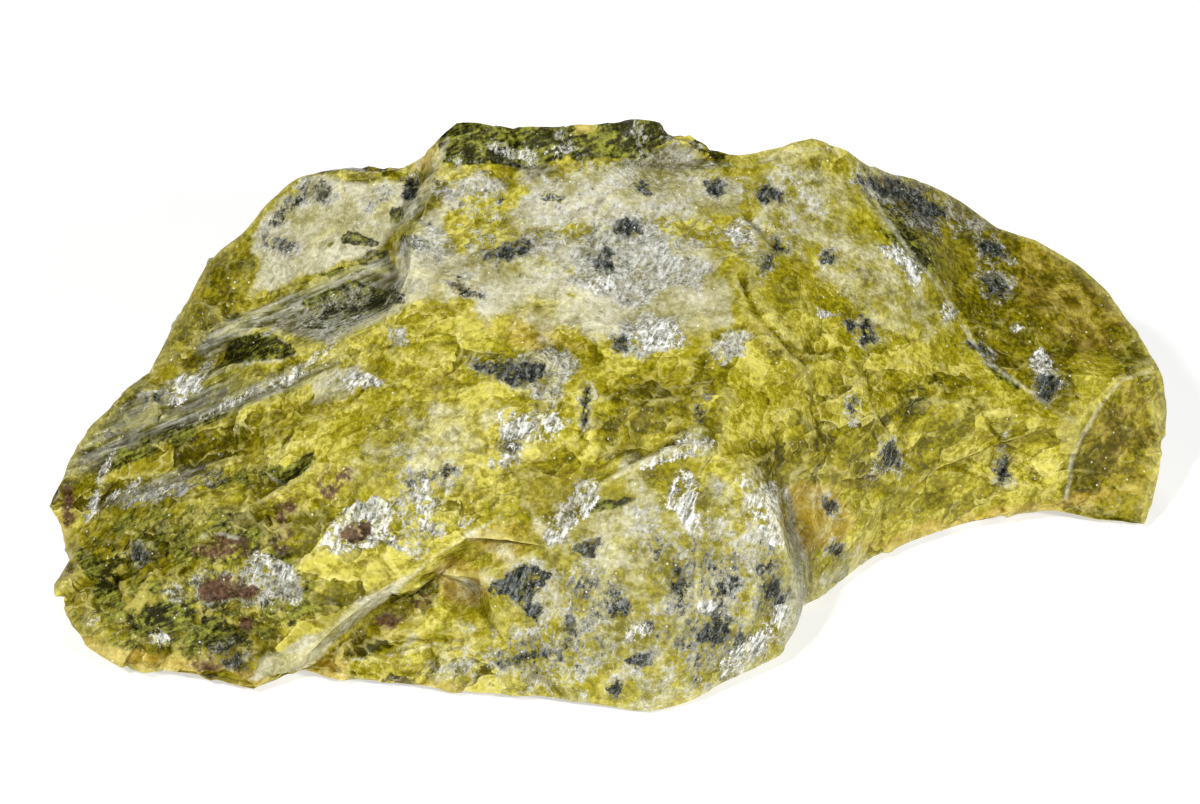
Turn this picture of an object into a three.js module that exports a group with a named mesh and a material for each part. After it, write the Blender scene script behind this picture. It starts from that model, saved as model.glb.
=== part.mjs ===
// A rough broken boulder of green jade, one solid piece of stone, in millimetres with +Z up.
// The origin is on the table, under the middle of the stone. +X runs along its length, +Y to its back.
import * as THREE from "three";
import { ConvexHull } from "three/addons/math/ConvexHull.js";
import { ImprovedNoise } from "three/addons/math/ImprovedNoise.js";
import { TessellateModifier } from "three/addons/modifiers/TessellateModifier.js";
import { mergeVertices } from "three/addons/utils/BufferGeometryUtils.js";

// Driving dimensions
const HALF_SIZE = new THREE.Vector3(71, 37, 25); // half the length, depth and height
const SPINE = { back: 14, slant: 0.17, up: 16 }; // a line inside, from which every face can be seen
const LINE_STEP = 0.16; // longest stretch of a broken edge between two corners, as a share of the half size
const MESH_EDGE = 5.2; // longest edge of the finished surface
const MESH_PASSES = 12;

// Lines of corners along the broken edges, each corner as [across, back, up].
const LINES = {
  // Where the sides turn under, all the way round
  frontRim: [
    [-68.4, -17, 5], [-66.5, -22.5, 3.7], [-63.5, -25.8, 3], [-59.5, -28.4, 2.3], [-50, -31, 2],
    [-43, -32, 1.5], [-37, -29.7, 2.3], [-32, -30.7, 1.6], [-22, -32, 1.5], [-12, -33.3, 1.5],
    [-4, -34.5, 1.3], [2, -35, 1], [6, -35, 1], [12, -33.2, 1.5], [19, -30, 2], [22.6, -26.8, 2.5],
    [24.4, -22.6, 3.5], [24.8, -18.6, 4], [28, -14, 1.7], [34, -7.5, 1.5], [40, -3.2, 1.8], [47, 0.1, 2],
    [54, 1.6, 2.5], [59, 2.3, 2.6], [64.5, 1.6, 1.6], [70.5, 1.2, 1.2],
  ],
  backRim: [
    [71, 9, 2], [69, 20, 3], [62, 30, 3], [53, 36, 3], [40, 38, 3], [22, 35, 3], [4, 36.5, 3],
    [-16, 34, 4], [-34, 30.5, 3], [-48, 22, 3], [-57, 10, 3], [-64, -3, 3], [-68.4, -17, 5],
  ],
  base: [
    [-58, -8, 0], [-57, -19, 0], [-44, -26, 0], [-30, -25, 0], [-14, -27, 0], [2, -30, 0], [14, -27, 0],
    [19, -20, 0], [27, -8, 0], [40, 2, 0], [58, 7, 0], [66, 8, 0], [64, 19, 0], [54, 30, 0], [38, 34, 0],
    [18, 32, 0], [0, 30, 0], [-18, 29, 0], [-36, 24, 0], [-50, 12, 0], [-58, -8, 0],
  ],
  backShoulder: [
    [-65, 2, 8], [-58, 11, 13], [-51, 23, 19], [-40, 31, 26], [-25, 33, 32], [-8, 32, 36], [8, 32, 37],
    [22, 34, 34], [38, 37.5, 28], [50, 37.5, 21], [61, 34, 15], [68, 25, 12], [71, 15, 9],
  ],
  backSlope: [
    [-34, 28, 35.5], [-22, 27.5, 40], [-12, 27, 40.5], [3, 27.5, 44.5], [18, 28, 38.5], [29, 31, 38.5],
  ],
  backWall: [
    [-59, 5, 7], [-50, 22, 12], [-40, 31.5, 16], [-29, 32, 18], [-15, 37, 20], [-4, 38.5, 17], [10, 35, 21],
    [20, 34.5, 15], [33, 39, 17], [44, 39.5, 12], [57, 35, 9], [67, 24, 7],
  ],
  // Right end: a steep facet below a long ridge that climbs to the crest
  rightEnd: [
    [70.5, 1.2, 1.2], [72, 5, 7], [73.2, 10, 13], [72.8, 12, 17], [67, 9, 19.5], [61, 3.4, 16],
    [60.5, 2.6, 9], [59, 2.3, 2.6],
  ],
  endFacet: [[66.5, 6, 14], [66, 4, 7.5]],
  rightRidge: [
    [32, 25, 44.3], [33, 21, 41], [36, 19, 38], [39, 16, 35], [43, 16, 31.5], [45, 15, 28.5], [47, 12, 26],
    [47, 9, 24.5], [52, 6, 21], [56, 5.4, 18.5], [61, 3.4, 16],
  ],
  rightBack: [
    [72.8, 12, 17], [70.6, 18, 19.6], [66.6, 24, 21.8], [62.3, 27, 24], [57, 29, 26.7], [52, 29.5, 29],
    [48, 31, 31.5], [43, 30.5, 34.5], [39, 29, 37.5], [35, 26.5, 41.2], [32, 25, 44.3],
  ],
  darkFace: [[37, 23, 38], [41, 22, 34.5], [48, 22, 29], [55, 18, 24], [63, 15, 20]],
  // Crest, with a dark ledge standing up behind the main face
  crestRight: [[32, 25, 44.3], [27, 24, 46], [22.5, 23, 45.8], [18, 22, 45.8], [14.5, 21.5, 47.2]],
  crestTop: [
    [14.5, 21.5, 47.2], [11.5, 21.5, 48.6], [9, 22, 48.8], [7, 22, 50.2], [4, 21.5, 50.6], [0, 21.5, 50],
    [-5, 21.5, 49.4], [-10, 22, 48.3], [-14, 22, 48.8], [-18, 23, 48.3], [-20, 22, 47], [-22, 22, 45.6],
  ],
  crestFoot: [
    [-20, 18, 45.3], [-14, 18, 45.8], [-9, 18, 45.2], [-1, 18, 46], [5, 18.5, 46], [10.5, 19.2, 45.4],
  ],
  leftCrest: [
    [-22, 22, 45.6], [-25, 22, 43.7], [-28, 21.5, 42.8], [-32, 22, 41.8], [-35, 23, 41.3], [-39, 23.5, 40],
    [-43, 21.5, 37.5], [-47, 19.5, 34.5], [-50.8, 17, 31.3], [-54.7, 11, 26.3], [-58, 6.5, 22.2],
    [-62.8, 2.8, 19.2], [-67, -0.4, 15.2], [-69, -3.5, 12.5], [-70.9, -6, 10], [-68.7, -9, 8.7],
    [-66.3, -12, 7.7], [-68.4, -17, 5],
  ],
  // Left shoulder: a pale shelf, a slick trough below it, and a straight shear edge
  mainLeftEdge: [[-20, 18, 45.3], [-22, 14, 43.5], [-24, 9, 41.5], [-24, 5, 39.5], [-22.5, 1, 37]],
  shelfFoot: [[-23, 20, 41.7], [-26, 15.5, 39.5], [-27, 12.5, 37.5], [-26, 8.5, 36]],
  troughRim: [[-27, 12.5, 37.5], [-32, 10.5, 36], [-38, 10, 33.5], [-43, 9, 31], [-46, 7, 28.5]],
  troughFloor: [[-28, 8, 34], [-34, 7.5, 32], [-40, 6.5, 29.5]],
  troughLip: [[-22.5, 1, 37], [-30, 0, 33.5], [-36, 0, 31], [-44, 2.5, 28]],
  hollow: [[-48, 4.5, 25.5], [-51, 2.5, 23.5]],
  shear: [
    [-33, -3, 30.5], [-40, -4, 27.5], [-46, -5, 24.5], [-53, -4, 20.5], [-60, -2.5, 17], [-65, -3, 13.5],
  ],
  // Left lobe, ending in a diagonal ridge that hangs over a recess
  lobeBack: [[-20, -12, 31], [-25, -14, 28.5], [-32, -14, 26.5]],
  lobeMiddle: [[-37, -16, 23.5], [-43, -18, 20], [-50, -18, 17], [-56, -15, 14.5], [-63, -10, 11.5]],
  lobeFront: [[-33, -23, 18], [-41, -25, 13], [-50, -25, 10], [-60, -23, 8]],
  lobeRidge: [
    [-12, -23, 21], [-21, -24, 16], [-28, -27, 11.5], [-33, -29, 8], [-37, -30.5, 4.7], [-43, -31.5, 1.5],
  ],
  lobeFoot: [[-14, -22, 17], [-20, -21.5, 11.5], [-27, -23.5, 7], [-32, -27.5, 4.5]],
  recess: [[-16, -23, 9.5], [-21, -27, 5.5], [-12, -30, 7.5]],
  // Front block, standing out from the faces on both sides of it
  blockEdge: [
    [-15, -25, 13.5], [-7, -25, 18.5], [-3, -22, 21], [1, -19, 24.5], [6, -18, 26.5], [11, -16.5, 28],
    [18, -18, 25],
  ],
  blockBehind: [[-3, -19, 23.5], [3, -15.8, 26.3], [9, -14.8, 28.5]],
  blockFace: [[2, -25, 19.5], [0, -30, 14.5], [-5, -32, 9.5]],
  blockMiddle: [[12, -23, 21], [12, -30, 14], [7, -34, 7.5]],
  blockRight: [[17, -22.5, 19.5], [18.5, -27, 13], [18, -29.5, 7]],
  blockSide: [[18, -18, 25], [22, -21, 19.5], [23.5, -23, 15], [24.5, -23, 10], [24, -25.5, 6]],
  sideFoot: [[22, -12, 24], [23, -15, 16], [25.5, -16, 10.5], [28, -14, 1.7]],
  // Broad faces: the pale main face on top and the right face below the ridge
  mainTop: [[-15, 10, 41.5], [-5, 10, 42], [6, 10, 42], [15, 11, 41]],
  mainMiddle: [[-15, 0, 37.5], [-5, -3, 37], [6, -3, 37], [17, 1, 37.5]],
  mainFront: [[-15, -10, 32.5], [-5, -13, 32], [6, -12.5, 32], [16, -11, 31.5]],
  mainLip: [[-21, -19, 27], [-7, -18.5, 27.5]],
  crack: [[19, 12, 41.5], [21, 8, 40], [18, 3, 38.8], [20, -1, 36.5], [23, -3, 34], [25, -4, 31.5]],
  rightTop: [[25.5, 9, 38], [32, 15, 38]],
  rightMiddle: [[30, 0, 30], [36, 6.5, 30.5]],
  rightLow: [[28, -8, 24], [35, -4, 23], [45, 4, 22.5]],
  rightFoot: [[31, -8.8, 12.5], [38, -4, 12], [46.5, 1.2, 12]],
};

// Surface relief
const LUMPS = [
  { across: 15, height: 0.9 },
  { across: 6.5, height: 0.45 },
];
const FLAKES = { count: 90, radius: [4, 11], depth: [0.3, 1.0] };
const FLAKE_SEED = 7;
const FOOT_HEIGHT = 0.4; // corners below this are the flat foot that the stone stands on

const STONE = new THREE.MeshStandardMaterial({ color: 0x9c9448, roughness: 0.45, metalness: 0 });

// The corners of a line, with more of them along its long stretches.
function alongLine(line) {
  const corners = line.map((corner) => new THREE.Vector3(...corner));
  const points = [corners[0]];
  for (let i = 1; i < corners.length; i++) {
    const stretch = corners[i].clone().sub(corners[i - 1]).divide(HALF_SIZE);
    const parts = Math.ceil(stretch.length() / LINE_STEP);
    for (let k = 1; k <= parts; k++) points.push(corners[i - 1].clone().lerp(corners[i], k / parts));
  }
  return points;
}

// All corners once, where lines that meet share one.
function allCorners() {
  const corners = new Map();
  for (const line of Object.values(LINES))
    for (const point of alongLine(line)) corners.set(point.toArray().map((v) => v.toFixed(2)).join(), point);
  return [...corners.values()];
}

// The direction of a corner from the spine, in a stone squeezed to equal length, depth and height.
function seenFromSpine({ x, y, z }) {
  return new THREE.Vector3(x, y - SPINE.back - SPINE.slant * x, z - SPINE.up).divide(HALF_SIZE).normalize();
}

// Flat facets between the corners. Their directions lie on a ball, whose hull says which are neighbours.
function facetsBetween(corners) {
  const cornerOf = new Map(corners.map((corner) => [seenFromSpine(corner), corner]));
  const hull = new ConvexHull().setFromPoints([...cornerOf.keys()]);
  const facets = hull.faces.flatMap(({ edge }) => [edge.prev, edge, edge.next]);
  return new THREE.BufferGeometry().setFromPoints(facets.map((edge) => cornerOf.get(edge.head().point)));
}

// A repeatable run of numbers from 0 to 1.
function seededRandom(seed) {
  let state = seed;
  return () => {
    state = (state * 16807) % 2147483647;
    return state / 2147483647;
  };
}

// Shallow bowls where flakes have split off, at points spread over the surface.
function flakeScars(position) {
  const random = seededRandom(FLAKE_SEED);
  const between = ([low, high]) => low + (high - low) * random();
  return Array.from({ length: FLAKES.count }, () => ({
    centre: new THREE.Vector3().fromBufferAttribute(position, Math.floor(random() * position.count)),
    radius: between(FLAKES.radius),
    depth: between(FLAKES.depth),
  }));
}

// How far the surface at a point stands out from its flat facet: rolling lumps less the flake scars.
function reliefAt(point, scars, noise) {
  let relief = 0;
  for (const { across, height } of LUMPS)
    relief += height * noise.noise(point.x / across, point.y / across, point.z / across);
  for (const { centre, radius, depth } of scars) {
    const reach = point.distanceTo(centre) / radius;
    if (reach < 1) relief -= depth * (1 - reach * reach);
  }
  return relief;
}

// The facets cut into a fine mesh and pushed in and out by the relief, apart from the flat foot.
function roughStone() {
  const fine = new TessellateModifier(MESH_EDGE, MESH_PASSES).modify(facetsBetween(allCorners()));
  fine.deleteAttribute("normal");
  const stone = mergeVertices(fine);
  stone.computeVertexNormals();
  const { position, normal } = stone.attributes;
  const noise = new ImprovedNoise();
  const scars = flakeScars(position);
  const rest = position.clone();
  for (let i = 0; i < position.count; i++) {
    const point = new THREE.Vector3().fromBufferAttribute(rest, i);
    if (point.z < FOOT_HEIGHT) continue;
    const out = new THREE.Vector3().fromBufferAttribute(normal, i);
    point.addScaledVector(out, reliefAt(point, scars, noise));
    position.setXYZ(i, point.x, point.y, Math.max(point.z, FOOT_HEIGHT));
  }
  return stone;
}

// Centred over the origin, with its foot on the table.
function stoodOnTable(stone) {
  stone.computeBoundingBox();
  const { min, max } = stone.boundingBox;
  return stone.translate(-(min.x + max.x) / 2, -(min.y + max.y) / 2, -min.z);
}

const boulder = new THREE.Mesh(stoodOnTable(roughStone()), STONE);
boulder.name = "boulder";

const part = new THREE.Group();
part.add(boulder);
export default part;
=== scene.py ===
"""Dresses the raw jade boulder: one broken lump of yellow-green stone on a pale floor."""
import itertools
import logging
import math
from dataclasses import dataclass
from enum import Enum

import bpy
import numpy as np
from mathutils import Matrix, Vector


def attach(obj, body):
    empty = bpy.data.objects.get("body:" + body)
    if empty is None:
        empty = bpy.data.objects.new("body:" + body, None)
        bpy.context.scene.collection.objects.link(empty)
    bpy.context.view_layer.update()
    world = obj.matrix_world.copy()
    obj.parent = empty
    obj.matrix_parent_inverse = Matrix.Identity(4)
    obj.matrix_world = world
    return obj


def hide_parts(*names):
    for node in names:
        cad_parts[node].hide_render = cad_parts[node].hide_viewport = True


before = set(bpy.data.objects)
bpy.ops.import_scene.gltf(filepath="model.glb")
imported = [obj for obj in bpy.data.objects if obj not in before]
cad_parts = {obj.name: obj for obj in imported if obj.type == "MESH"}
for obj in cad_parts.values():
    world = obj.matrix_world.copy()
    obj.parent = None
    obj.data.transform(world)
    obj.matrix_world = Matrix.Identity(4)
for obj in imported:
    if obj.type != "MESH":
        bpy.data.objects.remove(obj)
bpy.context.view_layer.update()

logging.basicConfig(level=logging.INFO, format="%(message)s")
LOG = logging.getLogger("jade_boulder")

MM = 0.001
NODE = "boulder"
BODY = "root"

Array = np.ndarray
Socket = bpy.types.NodeSocket
Colour = tuple[int, int, int]
Triple = tuple[float, float, float]


class Mineral(Enum):
    """What shows at the surface. Each value is the name of the mesh attribute that holds its share."""

    CREAM = "cream"
    FROST = "frost"
    FIBRE = "fibre"
    INK = "ink"
    OLIVE = "olive"
    DEEP = "deep"
    AMBER = "amber"
    RUST = "rust"


class Form(Enum):
    """Other shares that the finish reads from the mesh."""

    RIDGE = "ridge"
    SLICK = "slick"
    FLAKY = "flaky"
    SWELL = "swell"
    # Pale lines along edges: partly worn edges, partly painted highlight
    LIP_WEAR_AND_HIGHLIGHT = "lip_wear_and_highlight"


def smoothstep(low: float, high: float, values: Array) -> Array:
    """Eases values from 0 at low to 1 at high.

    Args:
        low: where the result leaves 0. It may be above high.
        high: where the result reaches 1.
        values: any array.

    Returns:
        An array like values, from 0 to 1.
    """
    t = np.clip((values - low) / (high - low), 0.0, 1.0)
    return t * t * (3.0 - 2.0 * t)


def linear(colour: Colour) -> tuple[float, float, float, float]:
    """Turns a display colour from 0 to 255 into a linear one with alpha 1."""
    shares = [channel / 255.0 for channel in colour]
    bright = [s / 12.92 if s <= 0.04045 else ((s + 0.055) / 1.055) ** 2.4 for s in shares]
    return (*bright, 1.0)


@dataclass(frozen=True)
class PhotoView:
    """A long lens looking down at the front of the stone, with pixels of a 1200 by 804 frame."""

    target: Triple = (-1.4 * MM, -6.2 * MM, 25.0 * MM)
    elevation_deg: float = 37.0
    distance: float = 620.0 * MM
    focal_px: float = 4930.0
    width_px: int = 1200
    height_px: int = 804
    sensor_mm: float = 36.0

    def axes(self) -> tuple[Array, Array, Array]:
        """Gives the view's right, up and forward directions."""
        tilt = math.radians(self.elevation_deg)
        right = np.array([1.0, 0.0, 0.0])
        up = np.array([0.0, math.sin(tilt), math.cos(tilt)])
        forward = np.array([0.0, math.cos(tilt), -math.sin(tilt)])
        return right, up, forward

    def eye(self) -> Array:
        """Gives the viewpoint itself."""
        return np.array(self.target) - self.distance * self.axes()[2]

    def to_pixels(self, points: Array) -> tuple[Array, Array]:
        """Projects points: sideways and upward offsets from the eye, over depth, times the focal length.

        Args:
            points: an array of n points in metres.

        Returns:
            Their n pixel positions, counted from the upper left, and their n depths in metres.
        """
        right, up, forward = self.axes()
        offset = points - self.eye()
        depth = offset @ forward
        across = self.width_px / 2 + self.focal_px * (offset @ right) / depth
        down = self.height_px / 2 - self.focal_px * (offset @ up) / depth
        return np.stack([across, down], axis=1), depth

    def facing(self, points: Array, normals: Array) -> Array:
        """Gives the cosine between each normal and the way to the eye."""
        to_eye = self.eye() - points
        return np.sum(normals * to_eye, axis=1) / np.linalg.norm(to_eye, axis=1)

    def add_camera(self) -> bpy.types.Object:
        """Makes the scene's camera at this viewpoint."""
        camera = bpy.data.cameras.new("photo_camera")
        camera.sensor_width = self.sensor_mm
        camera.lens = self.focal_px / self.width_px * self.sensor_mm
        camera.clip_start = 0.01
        camera.clip_end = 20.0
        holder = bpy.data.objects.new("photo_camera", camera)
        holder.location = Vector(self.eye())
        holder.rotation_euler = (math.radians(90.0 - self.elevation_deg), 0.0, 0.0)
        bpy.context.scene.collection.objects.link(holder)
        bpy.context.scene.camera = holder
        return holder


class GradientNoise:
    """Smooth noise: random slopes at whole-number corners, blended between them."""

    TABLE = 256

    def __init__(self, seed: int) -> None:
        """Draws the corner order and slopes from a seed."""
        draw = np.random.default_rng(seed)
        self.order = draw.permutation(self.TABLE)
        slopes = draw.normal(size=(self.TABLE, 3))
        self.slopes = slopes / np.linalg.norm(slopes, axis=1, keepdims=True)

    def corner_key(self, cell: Array) -> Array:
        """Gives a table place for each whole-number corner."""
        key = self.order[cell[:, 0] % self.TABLE]
        key = self.order[(key + cell[:, 1]) % self.TABLE]
        return self.order[(key + cell[:, 2]) % self.TABLE]

    def at(self, points: Array) -> Array:
        """Sums over 8 corners the corner's slope times the offset from it, with quintic weights.

        Args:
            points: an array of n points, one noise cell to a unit.

        Returns:
            n values, mostly from -0.7 to 0.7.
        """
        cell = np.floor(points).astype(int)
        offset = points - cell
        ease = offset**3 * (offset * (offset * 6.0 - 15.0) + 10.0)
        total = np.zeros(len(points))
        for corner in itertools.product((0, 1), repeat=3):
            step = np.array(corner)
            weight = np.prod(np.where(step == 1, ease, 1.0 - ease), axis=1)
            slope = self.slopes[self.corner_key(cell + step)]
            total += weight * np.sum(slope * (offset - step), axis=1)
        return total

    def fractal(self, points: Array, across: float, octaves: int = 3) -> Array:
        """Adds octaves of noise, each half as wide and half as high as the one before.

        Args:
            points: an array of n points.
            across: the widest octave's cell, in the points' unit.
            octaves: how many to add.

        Returns:
            n values, mostly from -1 to 1.
        """
        layers = [0.5**k * self.at(points * (2.0**k / across) + 17.3 * k) for k in range(octaves)]
        return np.sum(layers, axis=0)


class ChipNoise(GradientNoise):
    """Broken facets: space is split among scattered centres, and each cell has its own tilted flat face."""

    def __init__(self, seed: int) -> None:
        """Draws the scatter, tilts and heights from a seed."""
        super().__init__(seed)
        draw = np.random.default_rng(seed + 1)
        self.scatter = draw.uniform(0.08, 0.92, size=(self.TABLE, 3))
        self.height = draw.uniform(-0.5, 0.5, size=self.TABLE)

    def facets(self, points: Array, across: float, step: float) -> Array:
        """Gives the height of each point's own facet: its tilt times the offset from its centre, plus a step.

        Args:
            points: an array of n points.
            across: the size of a cell, in the points' unit.
            step: how much whole facets differ in height, as a share of their size.

        Returns:
            n heights as a share of the cell's size.
        """
        place = points / across
        base = np.floor(place).astype(int)
        nearest = np.full(len(place), np.inf)
        height = np.zeros(len(place))
        for move in itertools.product((-1, 0, 1), repeat=3):
            cell = base + np.array(move)
            key = self.corner_key(cell)
            offset = place - cell - self.scatter[key]
            gap = np.linalg.norm(offset, axis=1)
            facet = 0.5 * np.sum(offset * self.slopes[key], axis=1) + step * self.height[key]
            closer = gap < nearest
            nearest = np.where(closer, gap, nearest)
            height = np.where(closer, facet, height)
        return height


def gap_to_line(pixels: Array, line: Array) -> Array:
    """Gives each pixel's distance from the nearest stretch of a line through several points."""
    gaps = []
    for start, end in zip(line, line[1:]):
        run = end - start
        share = np.clip((pixels - start) @ run / (run @ run), 0.0, 1.0)
        gaps.append(np.linalg.norm(pixels - start - share[:, None] * run, axis=1))
    return np.min(gaps, axis=0)


@dataclass(frozen=True)
class Patch:
    """An oval area in the photograph's pixels. Turn is in degrees, rising to the right."""

    at: tuple[float, float]
    half: tuple[float, float]
    turn: float = 0.0
    strength: float = 1.0

    def reach(self, pixels: Array) -> Array:
        """Gives each pixel's distance from the middle as a share of the oval: 1 on its outline."""
        offset = pixels - np.array(self.at)
        angle = math.radians(self.turn)
        along = offset[:, 0] * math.cos(angle) - offset[:, 1] * math.sin(angle)
        across = offset[:, 0] * math.sin(angle) + offset[:, 1] * math.cos(angle)
        return np.hypot(along / self.half[0], across / self.half[1])


@dataclass(frozen=True)
class Area:
    """An area with a straight-edged outline, in the photograph's pixels."""

    corners: tuple[tuple[float, float], ...]
    strength: float
    soft: float

    @property
    def half(self) -> tuple[float, float]:
        """Half the outline's width and height."""
        return tuple(np.ptp(self.corners, axis=0) / 2)

    def reach(self, pixels: Array) -> Array:
        """Gives 1 on the outline, less inside and more outside: the distance from it over the soft width.

        A pixel is inside when a level line from it to the right crosses the outline an odd number of times.

        Args:
            pixels: an array of n pixel positions.

        Returns:
            n values.
        """
        loop = np.array([*self.corners, self.corners[0]], float)
        inside = np.zeros(len(pixels), bool)
        for start, end in zip(loop, loop[1:]):
            spans = (start[1] > pixels[:, 1]) != (end[1] > pixels[:, 1])
            rise = end[1] - start[1] or 1.0
            crossing = start[0] + (pixels[:, 1] - start[1]) * (end[0] - start[0]) / rise
            inside ^= spans & (pixels[:, 0] < crossing)
        gap = gap_to_line(pixels, loop)
        return 1.0 + np.where(inside, -gap, gap) / self.soft


@dataclass(frozen=True)
class Line:
    """A line through the photograph's pixels, with its width there and its depth in millimetres."""

    points: tuple[tuple[float, float], ...]
    width: float
    depth: float = 0.0

    def reach(self, pixels: Array) -> Array:
        """Gives each pixel's distance from the line, as a share of its width."""
        return gap_to_line(pixels, np.array(self.points, float)) / self.width


def ovals(*rows: tuple[float, ...]) -> tuple[Patch, ...]:
    """Makes ovals from rows of the middle's x and y, half width, half height, and any turn and strength."""
    return tuple(Patch(row[:2], row[2:4], *row[4:]) for row in rows)


def areas(strength: float, soft: float, *outlines: tuple[float, ...]) -> tuple[Area, ...]:
    """Makes areas of one strength and soft width from outlines written as x, y, x, y and so on."""
    return tuple(Area(tuple(zip(line[::2], line[1::2])), strength, soft) for line in outlines)
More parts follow.
